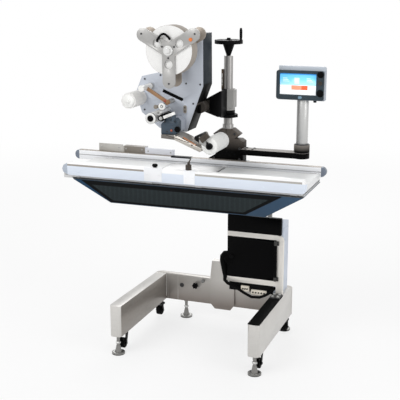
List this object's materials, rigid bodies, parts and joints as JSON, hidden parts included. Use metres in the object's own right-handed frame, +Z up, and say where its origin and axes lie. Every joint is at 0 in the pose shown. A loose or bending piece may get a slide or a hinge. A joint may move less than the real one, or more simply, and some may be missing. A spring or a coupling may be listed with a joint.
{
  "type": "labeling machine",
  "caption": "Top labeling machine: wheeled floor frame with levelling feet, column cabinet, belt conveyor tray, height-adjustable label applicator head on a mast, and operator display.",
  "frame": {"origin": "floor point under the middle of the machine", "axes": "+X along the belts to the operator display, +Y from the front to the back, +Z up"},
  "size_m": [1.3439, 0.641, 1.58],
  "materials": {
    "left_leg": "brushed stainless box section",
    "right_leg": "brushed stainless box section",
    "rear_beam": "brushed stainless box section",
    "leg_pad": "matt",
    "column": "satin",
    "cabinet_box": "satin",
    "trim_frame": "brushed",
    "hose": "satin",
    "tray_shell": "gloss",
    "front_panel": "fine mesh",
    "front_rail": "satin",
    "rear_rail": "satin",
    "belt_frame": "brushed",
    "conveyor_belts": "smooth",
    "rear_guides": "satin",
    "sensor_bracket": "satin",
    "mast_foot": "satin",
    "mast_tube": "brushed",
    "display_arm": "satin",
    "display_post": "satin",
    "foot_front_left": "turned",
    "foot_front_right": "turned",
    "foot_rear_left": "turned",
    "foot_rear_right": "turned",
    "fork_front_left": "satin",
    "fork_front_right": "satin",
    "fork_rear_left": "satin",
    "fork_rear_right": "satin",
    "wheel_front_left": "matt",
    "wheel_front_right": "matt",
    "wheel_rear_left": "matt",
    "wheel_rear_right": "matt",
    "cabinet_door": "gloss",
    "display_case": "satin",
    "display_bezel": "satin",
    "screen_panel": "lit screen",
    "start_button": "gloss",
    "stop_button": "gloss",
    "handwheel": "satin",
    "wheel_grip": "satin",
    "mast_slide": "satin black",
    "lock_ring": "satin",
    "head_plate": "satin",
    "head_case": "satin",
    "print_block": "satin",
    "peel_beam": "satin",
    "reel_holder": "satin",
    "label_roll": "paper",
    "tension_arm": "satin",
    "guide_roller": "turned",
    "nip_roller": "turned",
    "drive_roller": "turned",
    "foam_arm": "satin",
    "foam_roller": "foam",
    "rewind_spool": "turned",
    "infeed_nose_roller": "turned",
    "infeed_drive_roller": "turned",
    "outfeed_drive_roller": "turned",
    "outfeed_nose_roller": "turned",
    "rail_knob": "satin"
  },
  "bodies": {
    "base": {"left_leg": "left_leg", "right_leg": "right_leg", "rear_beam": "rear_beam", "leg_pad": "leg_pad", "column": "column", "cabinet_box": "cabinet_box", "trim_frame": "trim_frame", "hose": "hose", "tray_shell": "tray_shell", "front_panel": "front_panel", "front_rail": "front_rail", "rear_rail": "rear_rail", "belt_frame": "belt_frame", "conveyor_belts": "conveyor_belts", "rear_guides": "rear_guides", "sensor_bracket": "sensor_bracket", "mast_foot": "mast_foot", "mast_tube": "mast_tube", "display_arm": "display_arm", "display_post": "display_post"},
    "foot_front_left": {"foot_front_left": "foot_front_left"},
    "foot_front_right": {"foot_front_right": "foot_front_right"},
    "foot_rear_left": {"foot_rear_left": "foot_rear_left"},
    "foot_rear_right": {"foot_rear_right": "foot_rear_right"},
    "fork_front_left": {"fork_front_left": "fork_front_left"},
    "wheel_front_left": {"wheel_front_left": "wheel_front_left"},
    "fork_front_right": {"fork_front_right": "fork_front_right"},
    "wheel_front_right": {"wheel_front_right": "wheel_front_right"},
    "fork_rear_left": {"fork_rear_left": "fork_rear_left"},
    "wheel_rear_left": {"wheel_rear_left": "wheel_rear_left"},
    "fork_rear_right": {"fork_rear_right": "fork_rear_right"},
    "wheel_rear_right": {"wheel_rear_right": "wheel_rear_right"},
    "door": {"cabinet_door": "cabinet_door"},
    "display": {"display_case": "display_case", "display_bezel": "display_bezel", "screen_panel": "screen_panel"},
    "start_button": {"start_button": "start_button"},
    "stop_button": {"stop_button": "stop_button"},
    "slide": {"mast_slide": "mast_slide"},
    "handwheel": {"handwheel": "handwheel"},
    "wheel_grip": {"wheel_grip": "wheel_grip"},
    "lock_ring": {"lock_ring": "lock_ring"},
    "head": {"head_plate": "head_plate", "head_case": "head_case", "print_block": "print_block", "peel_beam": "peel_beam"},
    "reel": {"reel_holder": "reel_holder", "label_roll": "label_roll"},
    "tension_arm": {"tension_arm": "tension_arm"},
    "guide_roller": {"guide_roller": "guide_roller"},
    "drive_roller": {"drive_roller": "drive_roller"},
    "nip_roller": {"nip_roller": "nip_roller"},
    "rewind_spool": {"rewind_spool": "rewind_spool"},
    "foam_arm": {"foam_arm": "foam_arm"},
    "foam_roller": {"foam_roller": "foam_roller"},
    "infeed_drive_roller": {"infeed_drive_roller": "infeed_drive_roller"},
    "infeed_nose_roller": {"infeed_nose_roller": "infeed_nose_roller"},
    "outfeed_drive_roller": {"outfeed_drive_roller": "outfeed_drive_roller"},
    "outfeed_nose_roller": {"outfeed_nose_roller": "outfeed_nose_roller"},
    "rail_knob": {"rail_knob": "rail_knob"}
  },
  "joints": [
    {"name": "foot_front_left_screw", "type": "slide", "parent": "base", "child": "foot_front_left", "axis": [0, 0, -1], "range_m": [0, 0.03]},
    {"name": "foot_front_right_screw", "type": "slide", "parent": "base", "child": "foot_front_right", "axis": [0, 0, -1], "range_m": [0, 0.03]},
    {"name": "foot_rear_left_screw", "type": "slide", "parent": "base", "child": "foot_rear_left", "axis": [0, 0, -1], "range_m": [0, 0.03]},
    {"name": "foot_rear_right_screw", "type": "slide", "parent": "base", "child": "foot_rear_right", "axis": [0, 0, -1], "range_m": [0, 0.03]},
    {"name": "fork_front_left_swivel", "type": "hinge", "parent": "base", "child": "fork_front_left", "pos_m": [-0.23, -0.225, 0.098], "axis": [0, 0, 1], "continuous": true},
    {"name": "wheel_front_left_spin", "type": "hinge", "parent": "fork_front_left", "child": "wheel_front_left", "pos_m": [-0.23, -0.237, 0.035], "axis": [1, 0, 0], "continuous": true},
    {"name": "fork_front_right_swivel", "type": "hinge", "parent": "base", "child": "fork_front_right", "pos_m": [0.465, -0.225, 0.098], "axis": [0, 0, 1], "continuous": true},
    {"name": "wheel_front_right_spin", "type": "hinge", "parent": "fork_front_right", "child": "wheel_front_right", "pos_m": [0.465, -0.237, 0.035], "axis": [1, 0, 0], "continuous": true},
    {"name": "fork_rear_left_swivel", "type": "hinge", "parent": "base", "child": "fork_rear_left", "pos_m": [-0.23, 0.22667, 0.098], "axis": [0, 0, 1], "continuous": true},
    {"name": "wheel_rear_left_spin", "type": "hinge", "parent": "fork_rear_left", "child": "wheel_rear_left", "pos_m": [-0.23, 0.23867, 0.035], "axis": [1, 0, 0], "continuous": true},
    {"name": "fork_rear_right_swivel", "type": "hinge", "parent": "base", "child": "fork_rear_right", "pos_m": [0.465, 0.22667, 0.098], "axis": [0, 0, 1], "continuous": true},
    {"name": "wheel_rear_right_spin", "type": "hinge", "parent": "fork_rear_right", "child": "wheel_rear_right", "pos_m": [0.465, 0.23867, 0.035], "axis": [1, 0, 0], "continuous": true},
    {"name": "door_swing", "type": "hinge", "parent": "base", "child": "door", "pos_m": [0.4507, 0.0877, 0.432], "axis": [0, 0, 1], "range_deg": [0, 110]},
    {"name": "display_swivel", "type": "hinge", "parent": "base", "child": "display", "pos_m": [0.543, 0.19, 1.222], "axis": [0, 0, 1], "range_deg": [-45, 45]},
    {"name": "start_press", "type": "slide", "parent": "display", "child": "start_button", "axis": [0, 1, 0], "range_m": [0, 0.003], "stiffness_N_per_m": 400, "springref_m": -0.001},
    {"name": "stop_press", "type": "slide", "parent": "display", "child": "stop_button", "axis": [0, 1, 0], "range_m": [0, 0.003], "stiffness_N_per_m": 400, "springref_m": -0.001},
    {"name": "head_lift", "type": "slide", "parent": "base", "child": "slide", "axis": [0, 0, 1], "range_m": [-0.02, 0.1]},
    {"name": "handwheel_spin", "type": "hinge", "parent": "base", "child": "handwheel", "pos_m": [0.157, 0.22, 1.474], "axis": [0, 0, 1], "range_deg": [-740, 3620]},
    {"name": "grip_spin", "type": "hinge", "parent": "handwheel", "child": "wheel_grip", "pos_m": [0.219, 0.22, 1.5], "axis": [0, 0, 1], "continuous": true},
    {"name": "lock_ring_turn", "type": "hinge", "parent": "slide", "child": "lock_ring", "pos_m": [0.157, 0.22, 1.1217], "axis": [0, 0, 1], "continuous": true},
    {"name": "head_tilt", "type": "hinge", "parent": "slide", "child": "head", "pos_m": [0.072, 0.16, 1.18], "axis": [0, 1, 0], "range_deg": [-10, 10]},
    {"name": "reel_spin", "type": "hinge", "parent": "head", "child": "reel", "pos_m": [0.003, -0.1, 1.467], "axis": [0, 1, 0], "continuous": true},
    {"name": "tension_swing", "type": "hinge", "parent": "head", "child": "tension_arm", "pos_m": [-0.039, -0.06, 1.219], "axis": [0, 1, 0], "range_deg": [0, 20]},
    {"name": "guide_roller_spin", "type": "hinge", "parent": "head", "child": "guide_roller", "pos_m": [-0.104, -0.09, 1.146], "axis": [0, 1, 0], "continuous": true},
    {"name": "drive_roller_spin", "type": "hinge", "parent": "head", "child": "drive_roller", "pos_m": [-0.0515, -0.09, 1.1496], "axis": [0, 1, 0], "continuous": true},
    {"name": "nip_roller_spin", "type": "hinge", "parent": "head", "child": "nip_roller", "pos_m": [-0.063, -0.09, 1.1755], "axis": [0, 1, 0], "continuous": true},
    {"name": "rewind_spin", "type": "hinge", "parent": "head", "child": "rewind_spool", "pos_m": [-0.208, -0.1, 1.226], "axis": [0, 1, 0], "continuous": true},
    {"name": "foam_arm_swing", "type": "hinge", "parent": "head", "child": "foam_arm", "pos_m": [0.13, -0.1, 1.068], "axis": [0, -1, 0], "range_deg": [0, 15]},
    {"name": "foam_roller_spin", "type": "hinge", "parent": "foam_arm", "child": "foam_roller", "pos_m": [0.191, -0.07, 1.033], "axis": [0, 1, 0], "continuous": true},
    {"name": "infeed_drive_spin", "type": "hinge", "parent": "base", "child": "infeed_drive_roller", "pos_m": [-0.1147, -0.045, 0.8653], "axis": [0, 1, 0], "continuous": true},
    {"name": "infeed_nose_spin", "type": "hinge", "parent": "base", "child": "infeed_nose_roller", "pos_m": [-0.5253, -0.045, 0.8653], "axis": [0, 1, 0], "continuous": true},
    {"name": "outfeed_drive_spin", "type": "hinge", "parent": "base", "child": "outfeed_drive_roller", "pos_m": [0.1897, -0.045, 0.8653], "axis": [0, 1, 0], "continuous": true},
    {"name": "outfeed_nose_spin", "type": "hinge", "parent": "base", "child": "outfeed_nose_roller", "pos_m": [0.6403, -0.045, 0.8653], "axis": [0, 1, 0], "continuous": true},
    {"name": "rail_knob_turn", "type": "hinge", "parent": "base", "child": "rail_knob", "pos_m": [-0.0486, -0.2333, 0.94], "axis": [0, 0, 1], "continuous": true}
  ],
  "couplings": [
    {"joint": "handwheel_spin", "follows": "head_lift", "rad_per_m": 628.32},
    {"joint": "nip_roller_spin", "follows": "drive_roller_spin", "ratio": -1.1539},
    {"joint": "infeed_nose_spin", "follows": "infeed_drive_spin", "ratio": 1},
    {"joint": "outfeed_nose_spin", "follows": "outfeed_drive_spin", "ratio": 1}
  ]
}
